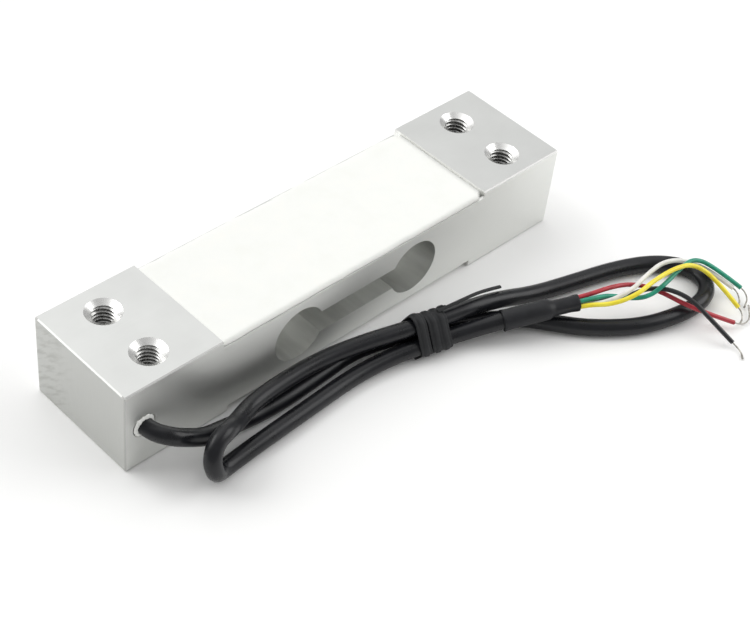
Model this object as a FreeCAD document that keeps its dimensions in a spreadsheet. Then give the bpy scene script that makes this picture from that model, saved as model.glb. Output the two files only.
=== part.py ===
import FreeCAD, Part
import math
import os
import Sketcher
from FreeCAD import Placement, Rotation, Vector

# Planar beam load cell. The origin is the centre of the beam's underside, X runs along the beam, and the
# cable leaves the side that faces -Y. Millimetres.

# Driving dimensions: name, value, what it measures
SIZES = [
    ("beam_length", 130.0, "beam, end to end"),
    ("beam_width", 30.0, "beam, side to side"),
    ("beam_height", 22.0, "beam, underside to top"),
    ("edge_break", 0.3, "chamfer on the outer edges"),
    ("mount_pitch_x", 106.0, "mounting holes, along the beam"),
    ("mount_pitch_y", 15.0, "mounting holes, across the beam"),
    ("mount_diameter", 6.0, "major diameter of the mounting thread"),
    ("countersink_diameter", 8.3, "countersink of the mounting holes, at the face"),
    ("countersink_angle", 90.0, "all countersinks"),
    ("bore_diameter", 14.0, "each bore of the flexure"),
    ("bore_pitch", 35.0, "flexure bores, centre to centre"),
    ("slot_height", 6.0, "slot between the flexure bores"),
    ("top_recess_length", 78.6, "top recess, along the beam"),
    ("bottom_recess_length", 75.0, "underside's recess, along the beam"),
    ("recess_depth", 1.8, "both recesses"),
    ("cable_hole_inset", 5.0, "cable hole's axis, from the end face"),
    ("cable_hole_height", 11.0, "cable hole's axis, above the underside"),
    ("cable_hole_diameter", 5.0, "cable hole"),
    ("cable_hole_chamfer", 0.5, "cable hole's countersink, wider than the hole on each side"),
    ("cable_hole_past_middle", 2.5, "cable hole's end, past the beam's middle"),
    ("passage_diameter", 3.0, "wire passages from the cable hole to the recesses"),
    ("passage_landing", 5.3, "where a passage's axis meets a recess floor, from the recess's end"),
    ("passage_overrun", 6.0, "drill's travel past that floor"),
    ("sealant_inset", 0.15, "sealant, back from the beam's long sides"),
    ("sealant_drop", 0.4, "sealant, lower than the beam's face"),
    ("sealant_rounding", 0.8, "sealant's long edges"),
    ("gauge_length", 9.0, "strain gauge's foil"),
    ("gauge_width", 5.0, "strain gauge's foil"),
    ("gauge_thickness", 0.15, "strain gauge's foil"),
    ("terminal_length", 4.0, "solder terminal strip, along the beam"),
    ("terminal_width", 9.0, "solder terminal strip, across the beam"),
    ("terminal_thickness", 0.4, "solder terminal strip"),
    ("terminal_gap", 2.0, "terminal strip to the next gauge"),
    ("gauge_lead_diameter", 0.3, "lead to a gauge, or from one gauge to the next"),
    ("gauge_lead_pitch", 3.0, "the two leads of one gauge, apart"),
    ("lead_lift", 0.1, "all leads, off the recess floors"),
    ("core_lead_diameter", 0.9, "bundle of cores inside the beam"),
    ("core_lead_pitch", 1.1, "the two bundles, one above the other in the cable hole"),
    ("core_lead_bend", 1.8, "bend of a bundle from the cable hole into its passage"),
    ("core_lead_landing_bend", 3.6, "bend of a bundle where it leaves its passage"),
    ("cable_diameter", 4.0, "cable's jacket"),
    ("seal_proud", 0.4, "bead of sealant in front of the cable hole"),
    ("sleeve_wall", 0.45, "sleeve over the jacket"),
    ("sleeve_neck_diameter", 3.7, "sleeve over the wires"),
    ("sleeve_neck_bore", 3.16, "sleeve's bore round the wires"),
    ("sleeve_neck_length", 7.5, "sleeve past the jacket's end"),
    ("sleeve_step", 1.4, "taper from the jacket down to the wires"),
    ("sleeve_flare", 0.16, "sleeve's open end, opened out"),
    ("sleeve_flare_length", 2.2, "length of that flare"),
    ("wire_diameter", 1.1, "insulated wire"),
    ("wire_ring_diameter", 2.0, "circle through the five wires in the sleeve"),
    ("wire_straight", 9.0, "wires' first run, from the jacket's end"),
    ("strand_diameter", 0.45, "stripped end of a wire"),
    ("strand_straight", 0.9, "stripped end's first run, in line with its wire"),
    ("tie_width", 10.5, "tie, along the bundle"),
    ("tie_thickness", 0.6, "tie's winding"),
    ("tie_clearance", 0.25, "tie's winding, off the strands"),
    ("tie_tail_diameter", 1.0, "loose tail of the tie"),
]

# The cable's route, from inside the cable hole to the jacket's end in the sleeve. It goes through the tie,
# round the right-hand loop, back through the tie, round the left-hand fold and through the tie again.
CABLE_ROUTE = [
    (-60.0, -12.4, 11.0), (-60.0, -17.2, 11.0), (-57.1, -20.2, 9.9), (-52.9, -20.2, 6.8),
    (-48.2, -20.2, 3.8), (-43.0, -19.9, 2.4), (-36.6, -20.9, 2.0), (-28.0, -21.5, 2.0),
    (-16.0, -20.9, 2.1), (-6.0, -20.3, 2.4), (3.0, -22.9, 3.0), (15.8, -26.5, 3.0),
    (23.0, -30.4, 2.2), (32.5, -36.2, 2.0), (37.5, -42.6, 2.0), (43.0, -49.0, 2.0),
    (52.5, -56.0, 2.0), (62.5, -59.2, 2.0), (71.0, -60.0, 2.0), (77.0, -57.2, 2.0),
    (78.4, -50.4, 2.0), (73.0, -43.8, 2.0), (63.0, -39.1, 2.0), (50.5, -35.7, 2.0),
    (40.5, -32.9, 2.2), (31.0, -31.1, 5.0), (23.0, -30.2, 6.9), (15.0, -28.5, 6.8),
    (3.5, -25.4, 6.8), (-6.0, -22.6, 6.7), (-17.0, -20.4, 6.4), (-28.0, -20.3, 6.4),
    (-36.6, -21.4, 6.7), (-42.8, -24.1, 8.1), (-47.5, -26.6, 10.6), (-51.8, -27.8, 11.0),
    (-54.2, -29.3, 8.5), (-53.5, -30.4, 5.0), (-51.2, -28.6, 2.3), (-46.1, -28.1, 2.1),
    (-35.9, -27.4, 2.2), (-23.0, -26.6, 2.0), (-11.0, -25.9, 2.0), (-1.0, -27.0, 2.6),
    (7.5, -29.2, 3.0), (15.6, -31.4, 3.1), (22.3, -34.7, 4.5), (28.8, -38.1, 5.9),
    (35.5, -41.3, 6.6),
]
# The exit, in the mouth of the cable hole, for which every route was chosen
ROUTE_EXIT = Vector(-60.0, -15.0, 11.0)
# Runs of the cable's route that lie in the tie, each by its first point: near, far and upper strand
TIED_RUNS = (44, 10, 27)
# Where the middle of the tie lies on the upper strand, along X
TIE_MIDDLE_X = 10.4

# Each wire: its place on the ring in the sleeve, in degrees from the top towards the front, its route after
# the straight run in the sleeve, and the route of its stripped end
WIRES = {
    "red": (-36.0,
        [(52.0, -47.0, 8.7), (58.5, -48.9, 6.9), (61.9, -53.4, 5.9), (63.4, -59.0, 5.4),
         (66.6, -64.6, 4.2), (71.8, -69.0, 1.6)],
        [(73.8, -70.2, 0.8), (75.8, -70.4, 0.5), (78.2, -69.2, 0.6), (80.0, -67.2, 1.0)]),
    "green": (36.0,
        [(49.4, -47.6, 7.7), (53.2, -50.6, 6.6), (57.0, -53.6, 7.0), (61.8, -54.4, 9.2),
         (68.4, -53.0, 8.8), (75.6, -52.3, 8.2), (79.4, -57.0, 5.6), (81.6, -63.2, 2.8)],
        [(81.6, -65.4, 1.6), (80.6, -66.3, 0.9), (79.0, -66.8, 0.5)]),
    "yellow": (108.0,
        [(46.8, -50.5, 8.3), (52.0, -53.3, 10.3), (59.0, -52.9, 10.8), (66.4, -53.2, 10.6),
         (72.6, -54.2, 9.2), (76.0, -59.0, 6.0), (76.2, -66.8, 2.2)],
        [(75.6, -68.7, 1.2), (74.8, -69.3, 0.8), (73.9, -69.6, 0.5)]),
    "white": (180.0,
        [(47.2, -48.7, 7.3), (53.2, -51.0, 9.3), (60.0, -50.0, 9.3), (68.0, -49.0, 8.2),
         (74.8, -50.8, 6.7), (78.4, -55.8, 4.9), (80.2, -62.0, 2.6)],
        [(80.2, -64.0, 1.5), (79.6, -64.9, 0.9), (78.8, -65.5, 0.5)]),
    "black": (-108.0,
        [(49.0, -46.7, 5.6), (54.0, -49.4, 5.6), (59.0, -51.3, 7.0), (62.6, -55.2, 7.6),
         (64.4, -60.6, 7.2), (65.0, -66.4, 4.8), (66.4, -72.8, 1.3)],
        [(66.5, -75.0, 0.5), (65.8, -76.3, 0.4), (64.8, -77.2, 0.4)]),
}
# The tie's loose tail, which springs from the top of the winding
TIE_TAIL = [
    (12.5, -28.0, 9.65), (18.0, -29.1, 9.9), (23.0, -29.6, 9.5), (27.2, -29.8, 8.6),
    (31.9, -29.8, 7.3),
]

# A cord's arc takes this share of the shorter run beside it
ARC_SHARE = 0.45
# Largest difference between a tube's volume and its section times its length
TUBE_TOLERANCE = 0.002

doc = FreeCAD.newDocument("beam_load_cell")
dims = doc.addObject("Spreadsheet::Sheet", "dims")
for row, (alias, value, meaning) in enumerate(SIZES, 1):
    dims.set(f"A{row}", alias)
    dims.set(f"B{row}", str(value))
    dims.setAlias(f"B{row}", alias)
    dims.set(f"C{row}", meaning)
doc.recompute()


def size(alias):
    return float(dims.get(alias))


# Sketches

# Places on the beam, as expressions of the sheet
END_X = "dims.beam_length / 2"
SIDE_Y = "dims.beam_width / 2"
MID_Z = "dims.beam_height / 2"
HOLE_X = "-dims.beam_length / 2 + dims.cable_hole_inset"
HOLE_MOUTH = "(dims.cable_hole_diameter + 2 * dims.cable_hole_chamfer)"


def origin_plane(body, role):
    return next(feature for feature in body.Origin.OriginFeatures if feature.Role == role)


def new_sketch(body, name, plane, lift="0"):
    """A sketch on one of the body's own origin planes, lifted along the plane's normal."""
    sketch = body.newObject("Sketcher::SketchObject", name)
    sketch.AttachmentSupport = [(origin_plane(body, plane), "")]
    sketch.MapMode = "FlatFace"
    sketch.setExpression("AttachmentOffset.Base.z", lift)
    return sketch


def bind_distance(sketch, axis, geometry, end, expression):
    """Holds a point at a distance from the sketch's origin along one axis."""
    result = sketch.evalExpression(expression)
    value = float(getattr(result, "Value", result))
    if abs(value) < 1e-9:
        on_axis = -2 if axis == "X" else -1
        sketch.addConstraint(Sketcher.Constraint("PointOnObject", geometry, end, on_axis))
        return
    origin = (-1, 1)
    point = (geometry, end)
    first, second = (origin, point) if value > 0 else (point, origin)
    index = sketch.addConstraint(Sketcher.Constraint("Distance" + axis, *first, *second, abs(value)))
    sign = "" if value > 0 else "-"
    sketch.setExpression(f"Constraints[{index}]", f"{sign}({expression})")


def add_outline(sketch, corners):
    """A closed outline of straight lines, each corner bound to its two expressions."""
    places = []
    for x_text, y_text in corners:
        found = [sketch.evalExpression(text) for text in (x_text, y_text)]
        x_value, y_value = (float(getattr(result, "Value", result)) for result in found)
        places.append(Vector(x_value, y_value, 0))
    first = sketch.GeometryCount
    count = len(places)
    for index, place in enumerate(places):
        sketch.addGeometry(Part.LineSegment(place, places[(index + 1) % count]), False)
    for index in range(count):
        following = first + (index + 1) % count
        sketch.addConstraint(Sketcher.Constraint("Coincident", first + index, 2, following, 1))
    for index, (x_text, y_text) in enumerate(corners):
        bind_distance(sketch, "X", first + index, 1, x_text)
        bind_distance(sketch, "Y", first + index, 1, y_text)


def add_rectangle(sketch, half_x, half_y, middle_y="0"):
    low = f"{middle_y} - {half_y}"
    high = f"{middle_y} + {half_y}"
    add_outline(sketch, [(f"-{half_x}", low), (half_x, low), (half_x, high), (f"-{half_x}", high)])


def add_circle(sketch, x_text, y_text, diameter_text):
    diameter = float(sketch.evalExpression(diameter_text))
    circle = sketch.addGeometry(Part.Circle(Vector(0, 0, 0), Vector(0, 0, 1), diameter / 2), False)
    bind_distance(sketch, "X", circle, 3, x_text)
    bind_distance(sketch, "Y", circle, 3, y_text)
    index = sketch.addConstraint(Sketcher.Constraint("Diameter", circle, diameter))
    sketch.setExpression(f"Constraints[{index}]", diameter_text)


# The beam

def cut_feature(body, kind, name, sketch):
    """A pocket or hole in the body, which has to take material away."""
    doc.recompute()
    before = body.Shape.Volume
    feature = body.newObject(kind, name)
    feature.Profile = sketch
    return feature, before


def close_cut(body, feature, before):
    doc.recompute()
    if not body.Shape.Volume < before:
        raise RuntimeError(f"{feature.Name} cuts nothing")


def pocket(body, name, sketch, depth=None, upward=False):
    feature, before = cut_feature(body, "PartDesign::Pocket", name, sketch)
    feature.Reversed = upward
    if depth:
        feature.setExpression("Length", depth)
    else:
        feature.Type = "ThroughAll"
    close_cut(body, feature, before)


def countersunk_hole(body, name, sketch, diameter, mouth, depth=None, upward=False):
    feature, before = cut_feature(body, "PartDesign::Hole", name, sketch)
    feature.ThreadType = "None"
    feature.HoleCutType = "Countersink"
    feature.Reversed = upward
    feature.DrillPoint = "Flat"
    feature.setExpression("Diameter", diameter)
    feature.setExpression("HoleCutDiameter", mouth)
    feature.setExpression("HoleCutCountersinkAngle", "dims.countersink_angle")
    if depth:
        feature.DepthType = "Dimension"
        feature.setExpression("Depth", depth)
    else:
        feature.DepthType = "ThroughAll"
    close_cut(body, feature, before)


def wire_passage(body, name, floor_z, end_x):
    """A slanted drilling from the cable hole's axis to a recess floor."""
    doc.recompute()
    before = body.Shape.Volume
    run = f"({end_x} + dims.passage_landing - ({HOLE_X}))"
    rise = f"({floor_z} - dims.cable_hole_height)"
    drill = body.newObject("PartDesign::SubtractiveCylinder", name)
    drill.Placement = Placement(Vector(0, 0, 0), Rotation(Vector(0, 1, 0), 90))
    drill.setExpression("Radius", "dims.passage_diameter / 2")
    drill.setExpression("Height", f"hypot({run}; {rise}) + dims.passage_overrun")
    drill.setExpression("Placement.Rotation.Angle", f"90 deg - atan2({rise}; {run})")
    drill.setExpression("Placement.Base.x", HOLE_X)
    drill.setExpression("Placement.Base.z", "dims.cable_hole_height")
    close_cut(body, drill, before)


TOP_FLOOR_Z = "(dims.beam_height - dims.recess_depth)"
BOTTOM_FLOOR_Z = "dims.recess_depth"


def mount_sketch(body, name, lift):
    sketch = new_sketch(body, name, "XY_Plane", lift)
    for x_sign in ("-", ""):
        for y_sign in ("-", ""):
            centre_x = f"{x_sign}dims.mount_pitch_x / 2"
            centre_y = f"{y_sign}dims.mount_pitch_y / 2"
            add_circle(sketch, centre_x, centre_y, "dims.mount_diameter")
    return sketch


def make_beam():
    body = doc.addObject("PartDesign::Body", "beam")
    body.Label = "beam"

    outline = new_sketch(body, "block_outline", "XY_Plane")
    add_rectangle(outline, END_X, SIDE_Y)
    block = body.newObject("PartDesign::Pad", "block")
    block.Profile = outline
    block.setExpression("Length", "dims.beam_height")
    doc.recompute()
    broken = body.newObject("PartDesign::Chamfer", "broken_edges")
    broken.Base = (block, [f"Edge{index + 1}" for index in range(len(block.Shape.Edges))])
    broken.setExpression("Size", "dims.edge_break")

    top_recess = new_sketch(body, "top_recess_outline", "XY_Plane", "dims.beam_height")
    add_rectangle(top_recess, "dims.top_recess_length / 2", SIDE_Y)
    pocket(body, "top_recess", top_recess, "dims.recess_depth")
    bottom_recess = new_sketch(body, "bottom_recess_outline", "XY_Plane")
    add_rectangle(bottom_recess, "dims.bottom_recess_length / 2", SIDE_Y)
    pocket(body, "bottom_recess", bottom_recess, "dims.recess_depth", upward=True)

    bores = new_sketch(body, "flexure_bores", "XZ_Plane", SIDE_Y)
    for sign in ("-", ""):
        add_circle(bores, f"{sign}dims.bore_pitch / 2", MID_Z, "dims.bore_diameter")
    pocket(body, "bores", bores)
    slot = new_sketch(body, "flexure_slot", "XZ_Plane", SIDE_Y)
    add_rectangle(slot, "dims.bore_pitch / 2", "dims.slot_height / 2", MID_Z)
    pocket(body, "slot", slot)

    top_mounts = mount_sketch(body, "top_mounts", "dims.beam_height")
    countersunk_hole(body, "mounting_holes", top_mounts, "dims.mount_diameter", "dims.countersink_diameter")
    bottom_mounts = mount_sketch(body, "bottom_mounts", "0")
    countersunk_hole(body, "bottom_countersinks", bottom_mounts, "dims.mount_diameter",
                     "dims.countersink_diameter", "dims.countersink_diameter - dims.mount_diameter",
                     upward=True)

    cable_hole = new_sketch(body, "cable_hole_centre", "XZ_Plane", SIDE_Y)
    add_circle(cable_hole, HOLE_X, "dims.cable_hole_height", "dims.cable_hole_diameter")
    countersunk_hole(body, "cable_hole", cable_hole, "dims.cable_hole_diameter", HOLE_MOUTH,
                     "dims.beam_width / 2 + dims.cable_hole_past_middle")
    wire_passage(body, "top_passage", TOP_FLOOR_Z, "-dims.top_recess_length / 2")
    wire_passage(body, "bottom_passage", BOTTOM_FLOOR_Z, "-dims.bottom_recess_length / 2")
    return body


# Gauges, terminals and leads under the sealant

def make_box(name, length, width, height, x_text, y_text, z_text):
    box = doc.addObject("Part::Box", name)
    box.Label = name
    box.setExpression("Length", length)
    box.setExpression("Width", width)
    box.setExpression("Height", height)
    box.setExpression("Placement.Base.x", x_text)
    box.setExpression("Placement.Base.y", y_text)
    box.setExpression("Placement.Base.z", z_text)
    return box


def seat(floor_z, thickness, facing):
    """Lowest height of a flat piece that is bonded to a recess floor, on the top or on the underside."""
    return floor_z if facing > 0 else f"{floor_z} - {thickness}"


def make_gauge(name, sign, floor_z, facing):
    x_text = f"{sign}dims.bore_pitch / 2 - dims.gauge_length / 2"
    z_text = seat(floor_z, "dims.gauge_thickness", facing)
    return make_box(name, "dims.gauge_length", "dims.gauge_width", "dims.gauge_thickness",
                    x_text, "-dims.gauge_width / 2", z_text)


def make_terminals(name, floor_z, facing):
    x_text = "-dims.bore_pitch / 2 - dims.gauge_length / 2 - dims.terminal_gap - dims.terminal_length"
    z_text = seat(floor_z, "dims.terminal_thickness", facing)
    return make_box(name, "dims.terminal_length", "dims.terminal_width", "dims.terminal_thickness",
                    x_text, "-dims.terminal_width / 2", z_text)


def rounded_path(points, radii):
    """Straight runs joined by tangent arcs: one arc at each inner point."""
    edges = []
    start = points[0]
    for before, corner, after, radius in zip(points, points[1:], points[2:], radii):
        heading_in = (corner - before).normalize()
        heading_out = (after - corner).normalize()
        half_turn = heading_in.getAngle(heading_out) / 2
        setback = radius * math.tan(half_turn)
        arc_start = corner - heading_in * setback
        arc_end = corner + heading_out * setback
        to_centre = (heading_out - heading_in).normalize()
        arc_middle = corner + to_centre * (radius / math.cos(half_turn) - radius)
        edges.append(Part.LineSegment(start, arc_start).toShape())
        edges.append(Part.Arc(arc_start, arc_middle, arc_end).toShape())
        start = arc_end
    edges.append(Part.LineSegment(start, points[-1]).toShape())
    return edges


def cord_radii(points):
    """The largest arc that the two runs beside each point leave room for."""
    radii = []
    for before, corner, after in zip(points, points[1:], points[2:]):
        run_in = corner - before
        run_out = after - corner
        half_turn = run_in.getAngle(run_out) / 2
        radii.append(ARC_SHARE * min(run_in.Length, run_out.Length) / math.tan(half_turn))
    return radii


def tube(edges, diameter):
    """A round tube along a path, checked against its section times its length."""
    spine = Part.Wire(edges)
    first = edges[0]
    heading = first.tangentAt(first.FirstParameter)
    section = Part.Wire(Part.Circle(first.Vertexes[0].Point, heading, diameter / 2).toShape())
    solid = spine.makePipeShell([section], True, False)
    expected = math.pi * diameter ** 2 / 4 * spine.Length
    if abs(solid.Volume - expected) > TUBE_TOLERANCE * expected:
        raise RuntimeError(f"tube of {solid.Volume:.1f} cubic millimetres, expected {expected:.1f}")
    return solid


def add_feature(name, shape, place=Placement()):
    feature = doc.addObject("Part::Feature", name)
    feature.Label = name
    feature.Shape = shape
    feature.Placement = place
    return feature


def lead_level(floor, diameter, facing):
    """Height of the axis of a lead that lies just off a recess floor."""
    return floor + facing * (diameter / 2 + size("lead_lift"))


def make_gauge_leads(name, floor, facing):
    """Two leads from the terminals to the near gauge, and two jumpers on to the far one."""
    lead = size("gauge_lead_diameter")
    z = lead_level(floor, lead, facing)
    near_start = -size("bore_pitch") / 2 - size("gauge_length") / 2
    near_end = near_start + size("gauge_length")
    far_start = size("bore_pitch") / 2 - size("gauge_length") / 2
    leads = []
    for side in (-1, 1):
        y = side * size("gauge_lead_pitch") / 2
        for start_x, end_x in ((near_start - size("terminal_gap"), near_start), (near_end, far_start)):
            start = Vector(start_x, y, z)
            leads.append(Part.makeCylinder(lead / 2, end_x - start_x, start, Vector(1, 0, 0)))
    return add_feature(name, Part.makeCompound(leads))


def make_core_leads(name, floor, recess_length, facing):
    """A bundle of cores, from the jacket's inner end through a wire passage to the terminals."""
    lead = size("core_lead_diameter")
    hole_x = -size("beam_length") / 2 + size("cable_hole_inset")
    hole_z = size("cable_hole_height")
    jacket_y = -size("beam_width") / 2 + (CABLE_ROUTE[0][1] - ROUTE_EXIT.y)
    shift = facing * size("core_lead_pitch") / 2
    landing_x = -recess_length / 2 + size("passage_landing")
    slope = (floor - hole_z) / (landing_x - hole_x)
    z_end = lead_level(floor, lead, facing)
    x_flat = hole_x + (z_end - hole_z - shift) / slope
    strip_x = (-size("bore_pitch") / 2 - size("gauge_length") / 2 - size("terminal_gap")
               - size("terminal_length"))
    points = [Vector(hole_x, jacket_y, hole_z + shift), Vector(hole_x, 0, hole_z + shift),
              Vector(x_flat, 0, z_end), Vector(strip_x, 0, z_end)]
    radii = [size("core_lead_bend"), size("core_lead_landing_bend")]
    return add_feature(name, tube(rounded_path(points, radii), lead))


def make_sealant(name, recess_length, z_text, facing, buried):
    """Sealant that nearly fills a recess round the pieces it covers, with its long edges rounded."""
    block = make_box(name + "_block", recess_length, "dims.beam_width - 2 * dims.sealant_inset",
                     "dims.recess_depth - dims.sealant_drop", f"-{recess_length} / 2",
                     f"-{SIDE_Y} + dims.sealant_inset", z_text)
    doc.recompute()
    box = block.Shape.BoundBox
    outer_z = box.ZMax if facing > 0 else box.ZMin
    rounding = size("sealant_rounding")
    long_edges = []
    for index, edge in enumerate(block.Shape.Edges, 1):
        along_beam = edge.BoundBox.XLength > 0.5 * box.XLength
        if along_beam and abs(edge.CenterOfMass.z - outer_z) < 1e-6:
            long_edges.append((index, rounding, rounding))
    fill = doc.addObject("Part::Fillet", name + "_fill")
    fill.Base = block
    fill.Edges = long_edges
    pieces = doc.addObject("Part::MultiFuse", name + "_buried")
    pieces.Shapes = buried
    sealant = doc.addObject("Part::Cut", name)
    sealant.Label = name
    sealant.Base = fill
    sealant.Tool = pieces
    return sealant


def make_side(side, floor_z, recess_name, fill_z, facing):
    """Gauges, terminals, leads and sealant of one recess."""
    doc.recompute()
    floor = float(dims.evalExpression(floor_z))
    recess_length = f"dims.{recess_name}"
    pieces = [
        make_gauge(f"gauge_{side}_fixed_end", "-", floor_z, facing),
        make_gauge(f"gauge_{side}_load_end", "", floor_z, facing),
        make_terminals(f"terminal_strip_{side}", floor_z, facing),
        make_gauge_leads(f"gauge_leads_{side}", floor, facing),
        make_core_leads(f"core_leads_{side}", floor, size(recess_name), facing),
    ]
    sealant = make_sealant(f"{side}_sealant", recess_length, fill_z, facing, pieces)
    return pieces + [sealant]


# The cable and what is on it

def make_cable_seal():
    """A bead of sealant between the jacket and the cable hole, a little proud of the beam."""
    body = doc.addObject("PartDesign::Body", "cable_seal")
    body.Label = "cable_seal"
    sketch = new_sketch(body, "seal_profile", "XY_Plane", "dims.cable_hole_height")
    sketch.setExpression("AttachmentOffset.Base.x", HOLE_X)
    jacket = "dims.cable_diameter / 2"
    hole = "dims.cable_hole_diameter / 2"
    mouth = f"{HOLE_MOUTH} / 2"
    inner = f"-{SIDE_Y} + {CABLE_ROUTE[0][1] - ROUTE_EXIT.y:.3f}"
    step = f"-{SIDE_Y} + dims.cable_hole_chamfer"
    face = f"-{SIDE_Y}"
    bead = f"-{SIDE_Y} - dims.seal_proud"
    profile = [(jacket, inner), (hole, inner), (hole, step), (mouth, face), (hole, bead), (jacket, bead)]
    add_outline(sketch, profile)
    doc.recompute()
    ring = body.newObject("PartDesign::Revolution", "seal_ring")
    ring.Profile = sketch
    ring.ReferenceAxis = (sketch, ["V_Axis"])
    ring.Angle = 360
    return body


def cord_place():
    """Moves the cord with the cable hole's mouth, if the beam's size changes."""
    hole_x = -size("beam_length") / 2 + size("cable_hole_inset")
    mouth = Vector(hole_x, -size("beam_width") / 2, size("cable_hole_height"))
    return Placement(mouth - ROUTE_EXIT, Rotation())


def print_radii(name, radii):
    print(name, "bend radii:", " ".join(f"{radius:.1f}" for radius in radii))


def make_cord(name, points, diameter):
    """A cord's tube along its route. Returns the sub-part and the path's edges."""
    radii = cord_radii(points)
    print_radii(name, radii)
    edges = rounded_path(points, radii)
    return add_feature(name, tube(edges, diameter), cord_place()), edges


def revolved(profile, base, axis):
    """Turns a profile of (along, radius) pairs round an axis."""
    side = axis.cross(Vector(0, 0, 1)).normalize()
    corners = [base + axis * along + side * radius for along, radius in profile]
    return Part.Face(Part.makePolygon(corners + corners[:1])).revolve(base, axis, 360)


def make_sleeve(cable_edges, jacket_end, axis):
    """A sleeve along the cable's last arc and run, necked down over the wires."""
    jacket_radius = size("cable_diameter") / 2
    outer_radius = jacket_radius + size("sleeve_wall")
    neck_radius = size("sleeve_neck_diameter") / 2
    bore_radius = size("sleeve_neck_bore") / 2
    flare = size("sleeve_flare")
    length = size("sleeve_neck_length")
    step = size("sleeve_step")
    flare_start = length - size("sleeve_flare_length")
    covered = cable_edges[-2:]
    over_jacket = tube(covered, 2 * outer_radius).cut(tube(covered, 2 * jacket_radius))
    neck = revolved([(0, jacket_radius), (0, outer_radius), (step, neck_radius), (flare_start, neck_radius),
                     (length, neck_radius + flare), (length, bore_radius + flare), (flare_start, bore_radius),
                     (step, bore_radius)], jacket_end, axis)
    return add_feature("heat_shrink_sleeve", over_jacket.fuse(neck).removeSplitter(), cord_place())


def make_wires(jacket_end, axis):
    """Five wires on a ring in the sleeve, each with its stripped end."""
    towards_front = axis.cross(Vector(0, 0, 1)).normalize()
    upward = towards_front.cross(axis)
    wires = []
    for colour, (angle, route, bare_route) in WIRES.items():
        turn = math.radians(angle)
        outward = upward * math.cos(turn) + towards_front * math.sin(turn)
        start = jacket_end + outward * (size("wire_ring_diameter") / 2)
        points = [start, start + axis * size("wire_straight")] + [Vector(*point) for point in route]
        wire, _ = make_cord(f"wire_{colour}", points, size("wire_diameter"))
        end = points[-1]
        heading = (end - points[-2]).normalize()
        bare_points = [end, end + heading * size("strand_straight")]
        bare_points += [Vector(*point) for point in bare_route]
        bare, _ = make_cord(f"bare_end_{colour}", bare_points, size("strand_diameter"))
        wires += [wire, bare]
    return wires


def make_tie(route):
    """A winding round the three strands of the bundle, with its loose tail."""
    near, far, upper = ((route[index], route[index + 1]) for index in TIED_RUNS)
    axis = (near[1] - near[0]).normalize()
    share = (TIE_MIDDLE_X - upper[0].x) / (upper[1].x - upper[0].x)
    middle = upper[0] + (upper[1] - upper[0]) * share
    centres = []
    for start, end in (near, far, upper):
        heading = (end - start).normalize()
        centres.append(start + heading * ((middle - start).dot(axis) / heading.dot(axis)))
    core = Part.Face(Part.makePolygon(centres + centres[:1]))
    inner_offset = size("cable_diameter") / 2 + size("tie_clearance")
    opening = core.makeOffset2D(inner_offset)
    outside = core.makeOffset2D(inner_offset + size("tie_thickness"))
    width = size("tie_width")
    winding = outside.extrude(axis * width).cut(opening.extrude(axis * width))
    winding.translate(axis * (-width / 2))
    tail_points = [Vector(*point) for point in TIE_TAIL]
    radii = cord_radii(tail_points)
    print_radii("tie tail", radii)
    tail = tube(rounded_path(tail_points, radii), size("tie_tail_diameter"))
    tail = tail.cut(opening.extrude(axis * width).translated(axis * (-width / 2)))
    return add_feature("twist_tie", winding.fuse(tail).removeSplitter(), cord_place())


def make_cord_pieces():
    route = [Vector(*point) for point in CABLE_ROUTE]
    cable, cable_edges = make_cord("cable", route, size("cable_diameter"))
    jacket_end = route[-1]
    axis = (route[-1] - route[-2]).normalize()
    sleeve = make_sleeve(cable_edges, jacket_end, axis)
    return [make_cable_seal(), cable, sleeve] + make_wires(jacket_end, axis) + [make_tie(route)]


# Build, check and write

sub_parts = [make_beam()]
sub_parts += make_side("top", TOP_FLOOR_Z, "top_recess_length", TOP_FLOOR_Z, 1)
sub_parts += make_side("bottom", BOTTOM_FLOOR_Z, "bottom_recess_length", "dims.sealant_drop", -1)
sub_parts += make_cord_pieces()
doc.recompute()

for item in doc.Objects:
    if "Invalid" in item.State or "Error" in item.State:
        raise RuntimeError(f"{item.Label} failed: {item.State}")
for item in sub_parts:
    if item.Shape.isNull() or not item.Shape.isValid():
        raise RuntimeError(f"{item.Label} has no valid shape")

os.makedirs("parts", exist_ok=True)
for item in sub_parts:
    item.Shape.exportStep(f"parts/{item.Label}.step")
    solids = len(item.Shape.Solids)
    print(f"{item.Label}: {solids} solid(s), {item.Shape.Volume:.1f} mm3")
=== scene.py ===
import math
from functools import partial
import bpy
import bmesh
from mathutils import Matrix, Vector, noise


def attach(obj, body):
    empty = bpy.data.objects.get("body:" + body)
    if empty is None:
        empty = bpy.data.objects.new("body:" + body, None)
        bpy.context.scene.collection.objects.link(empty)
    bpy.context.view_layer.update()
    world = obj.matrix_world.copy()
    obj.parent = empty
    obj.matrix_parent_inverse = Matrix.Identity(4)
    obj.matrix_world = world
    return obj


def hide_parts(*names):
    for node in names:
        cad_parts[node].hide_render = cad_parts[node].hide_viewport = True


# Planar beam load cell: the looks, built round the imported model. X runs along the beam, the cable leaves the
# side that faces -Y, and the beam stands on the floor at Z 0. Metres; sizes are written in millimetres.

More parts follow.
